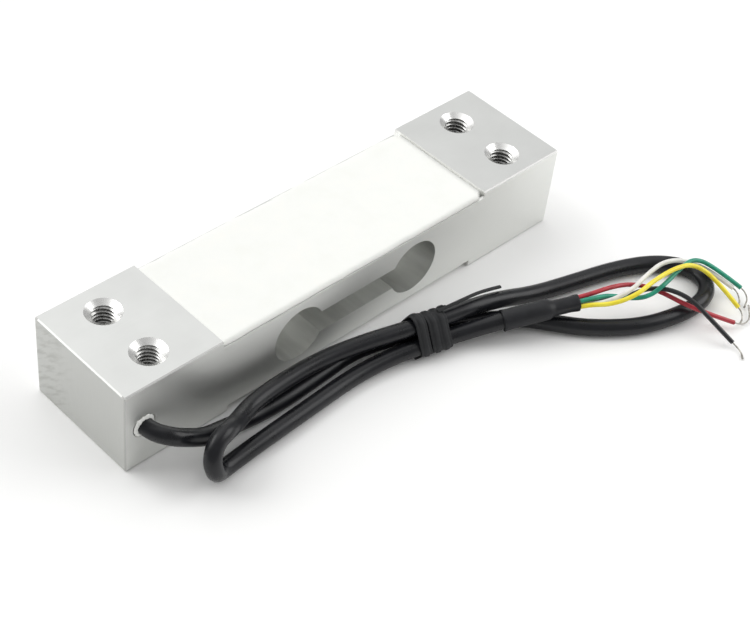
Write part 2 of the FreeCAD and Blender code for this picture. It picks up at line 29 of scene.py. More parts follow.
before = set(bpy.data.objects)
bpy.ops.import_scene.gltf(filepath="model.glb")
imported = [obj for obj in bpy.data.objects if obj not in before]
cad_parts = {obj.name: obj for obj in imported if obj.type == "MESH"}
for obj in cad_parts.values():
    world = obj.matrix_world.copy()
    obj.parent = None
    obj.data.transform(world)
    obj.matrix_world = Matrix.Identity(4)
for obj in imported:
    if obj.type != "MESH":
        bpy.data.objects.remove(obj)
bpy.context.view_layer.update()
MM = 0.001
UP = Vector((0, 0, 1))
BEAM_HEIGHT = 22.0
RECESS_DEPTH = 1.8
HOLE_PITCH_X = 106.0
HOLE_PITCH_Y = 15.0


# Small helpers

def mm(point):
    """A point in millimetres, as a vector in metres."""
    return Vector(point) * MM


def hex_colour(text):
    """An sRGB hex colour as a linear one."""
    values = [int(text[index:index + 2], 16) / 255 for index in (1, 3, 5)]
    linear = [v / 12.92 if v <= 0.04045 else ((v + 0.055) / 1.055) ** 2.4 for v in values]
    return (*linear, 1.0)


def per_mm(size):
    """A texture's scale for features of that size in millimetres."""
    return 1 / (size * MM)


def smooth(low, high, value):
    """Goes smoothly from 0 at low to 1 at high."""
    share = min(1.0, max(0.0, (value - low) / (high - low)))
    return share * share * (3 - 2 * share)


def waver(seed, *place):
    """Smooth noise from about -1 to 1 at up to three coordinates."""
    x, y, z = (list(place) + [0.0, 0.0])[:3]
    return noise.noise(Vector((x + 17.3 * seed, y - 5.7 * seed, z + 2.9 * seed)))


def fill(node, inputs):
    """Sets or links a node's inputs, given by name or in their order. A node stands for its first output, and
    a list for several links."""
    for key, values in inputs.items() if isinstance(inputs, dict) else enumerate(inputs):
        for value in values if isinstance(values, list) else [values]:
            if isinstance(value, bpy.types.Node):
                value = value.outputs[0]
            if isinstance(value, bpy.types.NodeSocket):
                node.id_data.links.new(value, node.inputs[key])
            else:
                node.inputs[key].default_value = value


def add_node(tree, kind, inputs=(), stops=(), **settings):
    """Adds a node, sets its properties, fills or links its inputs, and places a colour ramp's stops."""
    node = tree.nodes.new(kind)
    for key, value in settings.items():
        setattr(node, key, value)
    fill(node, inputs)
    if stops:
        elements = node.color_ramp.elements
        while len(elements) < len(stops):
            elements.new(0.5)
        for element, (position, colour) in zip(elements, stops):
            element.position = position
            element.color = hex_colour(colour)
    return node


def link_object(name, data):
    piece = bpy.data.objects.new(name, data)
    bpy.context.scene.collection.objects.link(piece)
    return piece


def mesh_piece(name, vertices, faces, material, shade_smooth=True):
    """A mesh with its faces pointing outwards."""
    mesh = bpy.data.meshes.new(name)
    mesh.from_pydata([tuple(v) for v in vertices], [], faces)
    work = bmesh.new()
    work.from_mesh(mesh)
    bmesh.ops.remove_doubles(work, verts=work.verts, dist=1e-8)
    bmesh.ops.recalc_face_normals(work, faces=work.faces)
    work.to_mesh(mesh)
    work.free()
    mesh.materials.append(material)
    for polygon in mesh.polygons:
        polygon.use_smooth = shade_smooth
    return link_object(name, mesh)


def loft(rings, ring_of_rings=False):
    """Vertices and faces of a skin over rings of equally many points. Its ends are closed or joined."""
    count = len(rings[0])
    vertices = [point for ring in rings for point in ring]
    faces = []
    last = len(rings) if ring_of_rings else len(rings) - 1
    for row in range(last):
        following = (row + 1) % len(rings)
        for column in range(count):
            next_column = (column + 1) % count
            faces.append((row * count + column, row * count + next_column,
                          following * count + next_column, following * count + column))
    if not ring_of_rings:
        faces.append(tuple(range(count)))
        faces.append(tuple((len(rings) - 1) * count + column for column in range(count)))
    return vertices, faces


def square_to(heading):
    """The level direction beside a heading, and the one upwards from both."""
    side = heading.cross(UP).normalized()
    return side, side.cross(heading)


def directions(places):
    """The directions beside and above a path, at each of its places."""
    found = []
    for index in range(len(places)):
        ahead = places[min(index + 1, len(places) - 1)] - places[max(index - 1, 0)]
        found.append(square_to(ahead.normalized()))
    return found


def finished(piece, node_names):
    """Attaches a piece to the body and hides the CAD nodes it stands in for."""
    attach(piece, "root")
    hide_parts(*node_names)
    return piece


# Materials

# The bar's regions, in millimetres from its middle
BETWEEN_HOLES = 50.0
BETWEEN_RECESSES = 9.15
ROUND_HOLE = 6.0
BY_SIDE = 14.0
SHORT_OF_CORNER = 64.65
# Which of the bar's faces are which, by the way they look and how far out they are. A mask that leaves out a
# second one is greater than it, and one that needs both multiplies them.
BAR_MASKS = (
    ("facing_x", "ABSOLUTE", "normal_x"),
    ("facing_y", "ABSOLUTE", "normal_y"),
    ("tilt", "ABSOLUTE", "normal_z"),
    ("off_middle", "ABSOLUTE", "x"),
    ("off_centre", "ABSOLUTE", "y"),
    ("upright", "GREATER_THAN", "facing_x", 0.8),
    ("cornered", "COMPARE", "facing_x", 0.7, 0.1),
    ("wall_round", "LESS_THAN", "facing_y", 0.5),
    ("level", "GREATER_THAN", "tilt", 0.9),
    ("sloping", "COMPARE", "tilt", 0.7, 0.2),
    ("in_middle", "COMPARE", "x", 0.0, BETWEEN_HOLES * MM),
    ("in_bores", "COMPARE", "z", BEAM_HEIGHT / 2 * MM, BETWEEN_RECESSES * MM),
    ("near_holes", "COMPARE", "off_middle", HOLE_PITCH_X / 2 * MM, ROUND_HOLE * MM),
    ("off_corner", "LESS_THAN", "off_middle", SHORT_OF_CORNER * MM),
    ("at_side", "GREATER_THAN", "off_centre", BY_SIDE * MM),
    ("in_mouths", "GREATER_THAN", "near_holes", "at_side"),
    ("along_side", "MULTIPLY", "at_side", "off_corner"),
    ("at_corner", "MULTIPLY", "cornered", "at_side"),
    ("on_end", "GREATER_THAN", "upright", "in_middle"),
    ("wall", "MULTIPLY", "upright", "in_middle"),
    ("on_wall", "GREATER_THAN", "wall", "in_bores"),
    ("on_flat", "GREATER_THAN", "level", "in_bores"),
    ("on_slope", "GREATER_THAN", "sloping", "in_bores"),
    ("on_cone", "MULTIPLY", "on_slope", "in_mouths"),
    ("on_long_edge", "MULTIPLY", "on_slope", "along_side"),
    ("on_upright_edge", "GREATER_THAN", "at_corner", "in_middle"),
    ("on_edge", "MAXIMUM", "on_long_edge", "on_upright_edge"),
    ("polished", "MAXIMUM", "on_cone", "on_wall"),
    ("inside", "MULTIPLY", "in_middle", "in_bores"),
    ("in_cut", "MULTIPLY", "inside", "wall_round"),
)


def start_material(name):
    """A new material, a function that adds nodes to it, its shader and its Object coordinates."""
    material = bpy.data.materials.new(name)
    material.use_nodes = True
    add = partial(add_node, material.node_tree)
    place = add("ShaderNodeTexCoord")
    return material, add, material.node_tree.nodes["Principled BSDF"], place.outputs["Object"]


def mottled(add, spot, stops, size, detail, roughness=0.5, gloss=None):
    """A colour that wanders between its stops in patches of a size in millimetres. With a gloss, the shader's
    roughness goes with it from a first to a second value."""
    patches = add("ShaderNodeTexNoise", {
        "Vector": spot, "Scale": per_mm(size), "Detail": detail, "Roughness": roughness})
    look = {"Base Color": add("ShaderNodeValToRGB", {"Fac": patches}, stops=stops)}
    if gloss:
        look["Roughness"] = add("ShaderNodeMapRange", {
            "Value": patches, "From Min": 0.3, "From Max": 0.7, "To Min": gloss[0], "To Max": gloss[1]})
    return look


def bar_aluminium():
    """Aluminium bar: drawn sides that scatter the light, in a lighter tone that is painted light, milled flats
    that shine more evenly, bores and slot darkened by streaks of painted shade, ends darkened by painted shade
    with dull dashes, bright turned countersinks and recess walls, edges darkened by painted shade, and fine
    lines along the bar."""
    material, add, shader, spot = start_material("milled_aluminium")
    facing = add("ShaderNodeTexCoord").outputs["Normal"]
    normal = add("ShaderNodeSeparateXYZ", [facing]).outputs
    axes = add("ShaderNodeSeparateXYZ", [spot]).outputs
    mask = {"normal_x": normal["X"], "normal_y": normal["Y"], "normal_z": normal["Z"],
            "x": axes["X"], "y": axes["Y"], "z": axes["Z"]}
    for name, operation, *values in BAR_MASKS:
        known = [mask.get(value, value) for value in values]
        mask[name] = add("ShaderNodeMath", known, operation=operation)
    # lines 0.15 mm wide and 16 mm long on the sides; 0.4 mm wide, 8 mm long and upright on the ends
    along = add("ShaderNodeMapping", {"Vector": spot, "Scale": (per_mm(16), per_mm(0.15), per_mm(0.15))})
    up_and_down = add("ShaderNodeMapping", {"Vector": spot, "Scale": (per_mm(0.2), per_mm(0.4), per_mm(8))})
    way = add("ShaderNodeMix", {0: mask["on_end"], 4: along, 5: up_and_down}, data_type="VECTOR")
    lines = add("ShaderNodeTexNoise", {"Vector": way.outputs[1], "Scale": 1.0})
    # patches of 9 mm, hardly seen
    clouded = mottled(add, spot, [(0.3, "#CDCECC"), (0.7, "#D2D3D1")], size=9, detail=3.0)
    # soft streaks of painted shade, of 2.8 mm and 16 mm long, through the bores and the slot
    through = add("ShaderNodeMapping", {"Vector": spot, "Scale": (per_mm(2.8), per_mm(16), per_mm(2.8))})
    shade_streaks = add("ShaderNodeTexNoise", {"Vector": through, "Scale": 1.0})
    shade_streak = add("ShaderNodeMapRange", {
        "Value": shade_streaks, "From Min": 0.34, "From Max": 0.66, "To Min": 0.08, "To Max": 0.32})
    bore_shade = add("ShaderNodeMath", [shade_streak, mask["in_cut"]], operation="MULTIPLY")
    # slanting dashes 6 mm long and 1.1 mm high, towards the back edge of the ends
    stretched = add("ShaderNodeMapping", {
        "Vector": spot, "Rotation": (math.radians(-40), 0.0, 0.0), "Scale": (1.0, 6 * MM, 1.1 * MM)},
        vector_type="TEXTURE")
    dashes = add("ShaderNodeTexNoise", {"Vector": stretched, "Scale": 1.0, "Detail": 3.0})
    dash = add("ShaderNodeMapRange", {"Value": dashes, "From Min": 0.46, "From Max": 0.66, "To Max": 0.34})
    to_back = add("ShaderNodeMapRange", {
        "Value": axes["Y"], "From Max": 11 * MM}, interpolation_type="SMOOTHSTEP")
    there = add("ShaderNodeMath", [mask["on_end"], to_back], operation="MULTIPLY")
    dulled = add("ShaderNodeMath", [dash, there], operation="MULTIPLY")
    # over the sides' tone, which is painted light: milled flats, streaks of painted shade in the bores, the
    # ends' painted shade, their dashes, bright faces, and the edges' painted shade
    colour = hex_colour("#E9EAE7")
    for share, finish in (
            (mask["on_flat"], clouded["Base Color"]),
            # streaks of painted shade in the bores and the slot
            (bore_shade, hex_colour("#8E8E8B")),
            # the ends' darker tone is painted shade
            (mask["on_end"], hex_colour("#C9CAC7")),
            (dulled, hex_colour("#8C8C86")),
            (mask["polished"], hex_colour("#F0F0EE")),
            # the edges' darker tone is painted shade that dims their highlight
            (mask["on_edge"], hex_colour("#B6B6B4"))):
        colour = add("ShaderNodeMix", {0: share, 6: colour, 7: finish}, data_type="RGBA").outputs[2]
    milled = add("ShaderNodeMix", {0: mask["on_flat"], 2: 0.39, 3: 0.4})
    turned = add("ShaderNodeMix", {0: mask["polished"], 2: milled, 3: 0.22})
    gloss = add("ShaderNodeMath", [lines, 0.12, turned], operation="MULTIPLY_ADD")
    bump = add("ShaderNodeBump", {"Height": lines, "Strength": 0.12, "Distance": 0.01 * MM})
    fill(shader, {"Base Color": colour, "Roughness": gloss, "Normal": bump, "Metallic": 1.0})
    return material


def white_silicone():
    """White neutral-cure silicone, poured and wiped: nearly white, very faintly greyed in patches, with soft
    ripples and a low shine."""
    material, add, shader, spot = start_material("white_silicone")
    # stains of about 7 mm
    stained = mottled(add, spot, [(0.3, "#EBECE7"), (0.5, "#EDEEEA"), (0.72, "#EFEFEA")],
                      size=7, detail=5.0, roughness=0.6)
    # pimples of 0.6 mm on ripples of 2.5 mm
    pimples = add("ShaderNodeTexNoise", {"Vector": spot, "Scale": per_mm(0.6)})
    ripples = add("ShaderNodeTexNoise", {"Vector": spot, "Scale": per_mm(2.5)})
    height = add("ShaderNodeMath", [ripples, 2.5, pimples], operation="MULTIPLY_ADD")
    bump = add("ShaderNodeBump", {"Height": height, "Strength": 0.4, "Distance": 0.03 * MM})
    fill(shader, {**stained, "Normal": bump, "Roughness": 0.5, "IOR": 1.41})
    return material


def black_polymer(name, dark, light, grain, roughness, depth):
    """Black extruded or moulded polymer: a grain of the given size and depth in millimetres, and a soft shine
    that wanders between a smoother and a rubbed finish."""
    material, add, shader, spot = start_material(name)
    # rubbed patches of 4 mm
    rubbed = mottled(add, spot, [(0.35, dark), (0.7, light)], size=4, detail=5.0, roughness=0.6,
                     gloss=(roughness - 0.05, roughness + 0.07))
    pattern = add("ShaderNodeTexNoise", {
        "Vector": spot, "Scale": per_mm(grain), "Detail": 3.0, "Roughness": 0.55})
    bump = add("ShaderNodeBump", {"Height": pattern, "Strength": 0.5, "Distance": depth * MM})
    fill(shader, {**rubbed, "Normal": bump, "IOR": 1.5, "Specular IOR Level": 0.34})
    return material


def wire_insulation(name, deep, bright):
    """Glossy PVC insulation of a thin wire: one colour, a little deeper in places, with faint die ripples."""
    material, add, shader, spot = start_material(name)
    # deeper patches of 2.5 mm, ripples of 0.7 mm
    deepened = mottled(add, spot, [(0.3, deep), (0.65, bright)], size=2.5, detail=3.0)
    ripples = add("ShaderNodeTexNoise", {"Vector": spot, "Scale": per_mm(0.7)})
    bump = add("ShaderNodeBump", {"Height": ripples, "Strength": 0.35, "Distance": 0.03 * MM})
    fill(shader, {**deepened, "Normal": bump, "Roughness": 0.3, "IOR": 1.53})
    return material


def patchy_metal(name, dull, bright, size, detail, gloss):
    """Bare metal, bright with duller patches of a size in millimetres, and a shine that goes with them."""
    material, add, shader, spot = start_material(name)
    patchy = mottled(add, spot, [(0.35, dull), (0.65, bright)], size, detail, roughness=0.6, gloss=gloss)
    fill(shader, {**patchy, "Metallic": 1.0})
    return material


def banded_strip(name, stops, size, roughness):
    """A thin strip with bands across the beam, which repeat in about a third of the size in millimetres."""
    material, add, shader, spot = start_material(name)
    bands = add("ShaderNodeTexWave", {"Vector": spot, "Scale": per_mm(size)}, bands_direction="Y")
    tone = add("ShaderNodeValToRGB", {"Fac": bands.outputs["Fac"]}, stops=stops)
    fill(shader, {"Base Color": tone, "Roughness": roughness})
    return material


def core_bundle():
    """The cable's thin insulated cores: spots of 0.6 mm in their colours."""
    material, add, shader, spot = start_material("core_insulation")
    cells = add("ShaderNodeTexVoronoi", {"Vector": spot, "Scale": per_mm(0.6)})
    tone = add("ShaderNodeValToRGB", {"Fac": cells}, stops=[
        (0.2, "#A02F38"), (0.4, "#D9D7D0"), (0.6, "#22806A")])
    fill(shader, {"Base Color": tone, "Roughness": 0.4})
    return material


def pale_paper():
    """Plain seamless paper: almost white and quite matt, with a very faint cloudiness."""
    material, add, shader, spot = start_material("seamless_paper")
    clouded = mottled(add, spot, [(0.3, "#F7F7F6"), (0.7, "#FAFAF9")], size=60, detail=2.0)
    fill(shader, {**clouded, "Roughness": 0.7, "Specular IOR Level": 0.2})
    return material


ALUMINIUM = bar_aluminium()
# freshly cut flanks with torn, duller streaks; their tone, darker than the bar's, is painted shade in the
# holes
THREAD = patchy_metal("tapped_aluminium", "#989896", "#D4D4D2", size=0.5, detail=4.0, gloss=(0.2, 0.36))
SILICONE = white_silicone()
JACKET = black_polymer("pvc_cable_jacket", "#121316", "#1A1B1F", grain=0.35, roughness=0.29, depth=0.03)
SLEEVE = black_polymer(
    "polyolefin_shrink_sleeve", "#141518", "#1D1E22", grain=0.5, roughness=0.48, depth=0.04)
TIE = black_polymer("pvc_coated_tie_wire", "#1B1C1E", "#262729", grain=0.8, roughness=0.6, depth=0.08)
WIRE_TONES = {
    "red": ("#9A1F2C", "#B8303C"), "green": ("#127A62", "#1E9A7E"), "yellow": ("#E9D41E", "#F3E645"),
    "white": ("#D6D4CE", "#E8E7E2"), "black": ("#101114", "#191A1E"),
}
WIRE_COLOURS = {colour: wire_insulation(f"{colour}_pvc_insulation", *tones)
                for colour, tones in WIRE_TONES.items()}
# thin drawn wires, dulled by handling
TINNED_COPPER = patchy_metal(
    "tinned_copper_strand", "#8E8A84", "#C2BFB8", size=0.8, detail=3.0, gloss=(0.36, 0.26))
ENAMELLED_COPPER = patchy_metal(
    "enamelled_copper", "#9A5A33", "#C07E4E", size=0.8, detail=3.0, gloss=(0.4, 0.3))
HIDDEN_FINISHES = {
    # constantan grid lines on amber film
    "gauge_": banded_strip("polyimide_gauge_foil", [(0.45, "#B97C2C"), (0.55, "#C9B79A")], 6, 0.35),
    # tinned pads on a green strip
    "terminal_strip_": banded_strip("glass_epoxy_laminate", [(0.5, "#1F5A3A"), (0.56, "#B9B7B0")], 40, 0.4),
    "gauge_leads_": ENAMELLED_COPPER,
    "core_leads_": core_bundle(),
}


# The camera, fitted to the beam's corners and holes in the photograph

CAMERA_AZIMUTH = -48.836
CAMERA_ELEVATION = 43.689
CAMERA_ROLL = 7.252
CAMERA_DISTANCE = 396.036
CAMERA_OFFSET = (15.176, -4.742)
FOCAL_PIXELS = 1711.95
PHOTO_WIDTH = 750
SENSOR_WIDTH = 36.0
CAMERA_CLIP = (0.01, 20.0)


def add_camera():
    azimuth, elevation, roll = (math.radians(a) for a in (CAMERA_AZIMUTH, CAMERA_ELEVATION, CAMERA_ROLL))
    back = Vector((math.sin(azimuth) * math.cos(elevation), -math.cos(azimuth) * math.cos(elevation),
                   math.sin(elevation)))
    level_right = UP.cross(back).normalized()
    level_up = back.cross(level_right)
    right = level_right * math.cos(roll) + level_up * math.sin(roll)
    up = level_up * math.cos(roll) - level_right * math.sin(roll)
    offset_x, offset_y = CAMERA_OFFSET
    place = (right * offset_x + up * offset_y + back * CAMERA_DISTANCE) * MM
    data = bpy.data.cameras.new("photo_camera")
    data.sensor_width = SENSOR_WIDTH
    data.lens = FOCAL_PIXELS / PHOTO_WIDTH * SENSOR_WIDTH
    data.clip_start, data.clip_end = CAMERA_CLIP
    camera = link_object("photo_camera", data)
    turned = Matrix((right, up, back)).transposed().to_4x4()
    camera.matrix_world = Matrix.Translation(place) @ turned
    bpy.context.scene.camera = camera


add_camera()


# The cords' routes, in millimetres: those of the part's source, some points moved to follow the photograph.
# The cable has one point more, at its start, which keeps it straight up to the mouth of its hole.

CABLE_ROUTE = [
    (-60, -12.4, 11), (-60, -12.8, 11),
    (-60, -17.2, 11), (-57.5, -20.6, 10.5), (-54.1, -21.4, 8.6),
    (-49.9, -22, 6.3), (-44.5, -21.6, 4.8), (-36.6, -20.9, 2), (-28, -21.5, 2),
    (-16, -20.9, 2.1), (-6, -20.3, 2.4), (3, -22.9, 3), (15.8, -26.5, 3),
    (23, -30.4, 2.2), (32.5, -36.2, 2), (37.5, -42.6, 2), (43, -49, 2),
    (52.5, -56, 2), (62.5, -59.2, 2), (71, -60, 2), (77, -57.2, 2),
    (78.4, -50.4, 2), (73, -43.8, 2), (63, -39.1, 2), (50.5, -35.7, 2),
    (40.5, -32.9, 2.2), (31, -31.1, 5), (23, -30.2, 6.9), (15, -28.5, 6.8),
    (3.5, -25.4, 6.8), (-6, -22.6, 6.7), (-17, -20.4, 6.4), (-28, -20.3, 6.4),
    (-36.6, -21.4, 6.7), (-42.8, -24.1, 8.1), (-47.8, -27.1, 11.6), (-51.9, -28, 11.3),
    (-54.1, -29.4, 8.5), (-53.6, -30, 4.8), (-51.2, -28.7, 2.3), (-46.5, -28, 2),
    (-35.9, -27.4, 2.2), (-23, -26.6, 2), (-11, -25.9, 2), (-1, -27, 2.6),
    (7.5, -29.2, 3), (15.6, -31.4, 3.1), (22.3, -34.7, 4.5), (28.8, -38.1, 5.9),
    (35.5, -41.3, 6.6),
]
CABLE_EXIT = (-60, -15, 11)
CABLE_DIAMETER = 4.0
# Each wire: its place on the ring in the sleeve, in degrees from the top towards the front, its route after
# the straight run in the sleeve, the route of its stripped end, and its length
WIRES = {
    "red": (-36,
            [(52, -47, 8.7), (58.5, -48.9, 6.9), (61.9, -53.4, 5.9), (63.4, -59, 5.4),
             (66.6, -64.6, 4.2), (71.8, -69, 1.6)],
            [(73.8, -70.2, 0.8), (75.8, -70.4, 0.5), (78.2, -69.2, 0.6), (80, -67.2, 1)], 49.5),
    "green": (36,
              [(49.4, -47.6, 7.7), (53.2, -50.6, 6.6), (57, -53.6, 7), (61.8, -54.4, 9.2),
               (68.4, -53, 8.8), (75.6, -52.3, 8.2), (79.4, -57, 5.6), (81.6, -63.2, 2.8)],
              [(81.6, -65.4, 1.6), (80.6, -66.3, 0.9), (79, -66.8, 0.5)], 57.2),
    "yellow": (108,
               [(46.8, -50.5, 8.3), (52, -53.3, 10.3), (59, -52.9, 10.8), (66.4, -53.2, 10.6),
                (72.6, -54.2, 9.2), (76, -59, 6), (76.2, -66.8, 2.2)],
               [(75.6, -68.7, 1.2), (74.8, -69.3, 0.8), (73.9, -69.6, 0.5)], 56.2),
    "white": (180,
              [(47.2, -48.7, 7.3), (53.2, -51, 9.3), (60, -50, 9.9), (68, -49, 8.9),
               (74.8, -50.8, 6.7), (78.4, -55.8, 4.9), (80.2, -62, 2.6)],
              [(80.2, -64, 1.5), (79.6, -64.9, 0.9), (78.8, -65.5, 0.5)], 55.6),
    "black": (-108,
              [(49, -46.7, 5.6), (54, -49.4, 5.6), (59, -51.3, 7), (62.6, -55.2, 7.6),
               (64.4, -60.6, 7.2), (65, -66.4, 4.8), (66.4, -72.8, 1.3)],
              [(66.5, -75, 0.5), (65.8, -76.3, 0.4), (64.8, -77.2, 0.4)], 50.3),
}
WIRE_DIAMETER = 1.1
WIRE_RING_RADIUS = 1.0
WIRE_STRAIGHT = 9.0
STRAND_STRAIGHT = 0.9
STRAND_START = 0.3
# The tie's loose tail, and its other end under the bundle
TIE_TAIL = [(12.5, -28, 9.65), (18, -29.1, 10.1), (23, -29.6, 10), (27.2, -29.8, 9),
            (31.6, -29.8, 7.4)]
TIE_STUB = [(11, -29.6, 0.72), (8, -29.1, 0.72), (5.2, -28.6, 0.72)]


def route_curve(name, points, diameter=0.0, material=None):
    """A smooth cord: a NURBS spline with the route's points as its control points."""
    data = bpy.data.curves.new(name, "CURVE")
    data.dimensions = "3D"
    data.resolution_u = 14
    spline = data.splines.new("NURBS")
    spline.points.add(len(points) - 1)
    for knot, point in zip(spline.points, points):
        knot.co = (*mm(point), 1.0)
    spline.order_u = 3
    spline.use_endpoint_u = True
    if diameter:
        data.bevel_depth = diameter / 2 * MM
        data.bevel_resolution = 6
        data.use_fill_caps = True
        data.materials.append(material)
    return link_object(name, data)


def evaluated_mesh(piece):
    """The plain mesh that an object's curve or modifiers give."""
    graph = bpy.context.evaluated_depsgraph_get()
    return bpy.data.meshes.new_from_object(piece.evaluated_get(graph))


def route_line(points):
    """Points along the route's own NURBS spline, in metres."""
    line = route_curve("route_line", points)
    mesh = evaluated_mesh(line)
    found = [vertex.co.copy() for vertex in mesh.vertices]
    bpy.data.meshes.remove(mesh)
    bpy.data.objects.remove(line)
    return found


def start_tree(name, sizes):
    """A new geometry tree that is given geometry, a material and named sizes. Returns a function that adds
    nodes to it, and what it is given."""
    tree = bpy.data.node_groups.new(name, "GeometryNodeTree")
    kinds = {"Geometry": "Geometry", "Material": "Material"}
    kinds.update((key, "Int" if isinstance(size, int) else "Float") for key, size in sizes.items())
    for key, kind in kinds.items():
        tree.interface.new_socket(key, in_out="INPUT", socket_type=f"NodeSocket{kind}")
    tree.interface.new_socket("Geometry", in_out="OUTPUT", socket_type="NodeSocketGeometry")
    add = partial(add_node, tree)
    return add, add("NodeGroupInput").outputs


def close_tree(add, given, shape):
    """Makes a tree's shape real, gives it the material and hands it out. Returns the tree."""
    real = add("GeometryNodeRealizeInstances", [shape])
    painted = add("GeometryNodeSetMaterial", {"Geometry": real, "Material": given["Material"]})
    return add("NodeGroupOutput", [painted]).id_data


def run_tree(piece, tree, sizes, material, shade_smooth=True):
    """Runs a node tree on an object with its named inputs set. Returns a plain mesh piece."""
    values = {**sizes, "Material": material}
    modifier = piece.modifiers.new(tree.name, "NODES")
    modifier.node_group = tree
    for item in tree.interface.items_tree:
        if item.in_out == "INPUT" and item.name in values:
            modifier[item.identifier] = values[item.name]
    mesh = evaluated_mesh(piece)
    name = piece.name
    bpy.data.objects.remove(piece)
    mesh.name = name
    mesh.materials.clear()
    mesh.materials.append(material)
    for polygon in mesh.polygons:
        polygon.use_smooth = shade_smooth
    return link_object(name, mesh)


cable = route_curve("cable_jacket", CABLE_ROUTE, CABLE_DIAMETER, JACKET)
cable_line = route_line(CABLE_ROUTE)
jacket_end = Vector(CABLE_ROUTE[-1])
jacket_axis = (jacket_end - Vector(CABLE_ROUTE[-2])).normalized()
sleeve_front, sleeve_up = square_to(jacket_axis)


def wire_points(colour):
    """A wire's route from the jacket's end, and its stripped end's."""
    angle, route, bare_route, _ = WIRES[colour]
    turn = math.radians(angle)
    outward = sleeve_up * math.cos(turn) + sleeve_front * math.sin(turn)
    start = jacket_end + outward * WIRE_RING_RADIUS
    points = [start, start + jacket_axis * WIRE_STRAIGHT] + [Vector(point) for point in route]
    heading = (points[-1] - points[-2]).normalized()
    bare = [points[-1] - heading * STRAND_START, points[-1] + heading * STRAND_STRAIGHT]
    return points, bare + [Vector(point) for point in bare_route]


# Stripped ends: seven tinned strands laid in a twist that opens towards the tip

STRAND_SIZES = {
    "Strand Radius": 0.06 * MM, "Lay Radius": 0.115 * MM, "Lay Turn": 6.0 * MM, "Fray": 0.14 * MM,
    "Strands Round": 6,
}


def strand_tree():
    add, given = start_tree("twisted_strands", STRAND_SIZES)
    path = add("GeometryNodeResampleCurve", {"Curve": given["Geometry"], "Count": 48})
    copies = add("GeometryNodeDuplicateElements", {
        "Geometry": path, "Amount": given["Strands Round"]}, domain="SPLINE")
    number = copies.outputs["Duplicate Index"]
    along = add("GeometryNodeSplineParameter").outputs
    share = add("ShaderNodeMath", [number, given["Strands Round"]], operation="DIVIDE")
    turned = add("ShaderNodeMath", [along["Length"], given["Lay Turn"]], operation="DIVIDE")
    turns = add("ShaderNodeMath", [share, turned], operation="ADD")
    angle = add("ShaderNodeMath", [turns, math.tau], operation="MULTIPLY")
    # the twist opens towards the tip, each strand by a share of its own
    opening = add("ShaderNodeMapRange", {
        "Value": along["Factor"], "From Min": 0.55}, interpolation_type="SMOOTHSTEP")
    spread = add("FunctionNodeRandomValue", {2: 0.15, 3: 1.0, "ID": number, "Seed": 4})
    frayed = add("ShaderNodeMath", [opening, spread.outputs[1]], operation="MULTIPLY")
    radius = add("ShaderNodeMath", [frayed, given["Fray"], given["Lay Radius"]], operation="MULTIPLY_ADD")
    normal = add("GeometryNodeInputNormal")
    tangent = add("GeometryNodeInputTangent")
    sideways = add("ShaderNodeVectorMath", [tangent, normal], operation="CROSS_PRODUCT")
    ways = []
    for direction, function in ((normal, "COSINE"), (sideways, "SINE")):
        wave = add("ShaderNodeMath", [angle], operation=function)
        reach = add("ShaderNodeMath", [wave, radius], operation="MULTIPLY")
        ways.append(add("ShaderNodeVectorMath", {0: direction, "Scale": reach}, operation="SCALE"))
    offset = add("ShaderNodeVectorMath", [ways[0], ways[1]], operation="ADD")
    laid = add("GeometryNodeSetPosition", {"Geometry": copies, "Offset": offset})
    both = add("GeometryNodeJoinGeometry", {0: [laid, path]})
    section = add("GeometryNodeCurvePrimitiveCircle", {"Resolution": 7, "Radius": given["Strand Radius"]})
    swept = add("GeometryNodeCurveToMesh", {"Curve": both, "Profile Curve": section, "Fill Caps": True})
    return close_tree(add, given, swept)


def make_wires():
    tree = strand_tree()
    made = []
    for colour, (_, _, _, length) in WIRES.items():
        points, bare_points = wire_points(colour)
        wire = route_curve(f"wire_{colour}_insulation", points, WIRE_DIAMETER, WIRE_COLOURS[colour])
        bare_line = route_curve(f"bare_strands_{colour}", bare_points)
        bare = run_tree(bare_line, tree, STRAND_SIZES, TINNED_COPPER)
        finished(wire, [f"wire_{colour}"])
        finished(bare, [f"bare_end_{colour}"])
        made.append((wire, bare, length))
    return made


wires = make_wires()


# The shrunk sleeve over the jacket's end and the wires

SLEEVE_ON_JACKET = 10.8
SLEEVE_NECK = 7.5
SLEEVE_RADIUS = 2.45
SLEEVE_LIP = 0.1
NECK_RADIUS = 1.85
NECK_BORE = 1.62
NECK_FLARE = 0.16
NECK_FLARE_LENGTH = 2.2
NECK_STEPS = 30
WIRE_RIDGE = 0.07
SLEEVE_CREASE = 0.05
SLEEVE_SLACK = 0.02
SLEEVE_SIDES = 40
# Where along the sleeve it steps down, its bore does, and the wires' ridges come up, from the jacket's end
SLEEVE_STEP = (-0.3, 1.7)
BORE_STEP = (0.0, 1.4)
RIDGE_RISE = (1.0, 3.0)
LIP_LENGTH = 0.9
RIDGE_TURN = 0.6
CREASES_ALONG = 0.5
CREASES_ROUND = 1.5


def sleeve_path():
    """Stations along the jacket's last stretch and on past its end, each with its distance from that end."""
    stations = [(0.0, cable_line[-1] / MM)]
    for point in reversed(cable_line[:-1]):
        place = point / MM
        distance = stations[-1][0] - (place - stations[-1][1]).length
        stations.append((distance, place))
        if distance < -SLEEVE_ON_JACKET:
            break
    stations.reverse()
    for step in range(1, NECK_STEPS + 1):
        distance = SLEEVE_NECK * step / NECK_STEPS
        stations.append((distance, jacket_end + jacket_axis * distance))
    return stations


def neck_flare(distance):
    return NECK_FLARE * smooth(SLEEVE_NECK - NECK_FLARE_LENGTH, SLEEVE_NECK, distance)


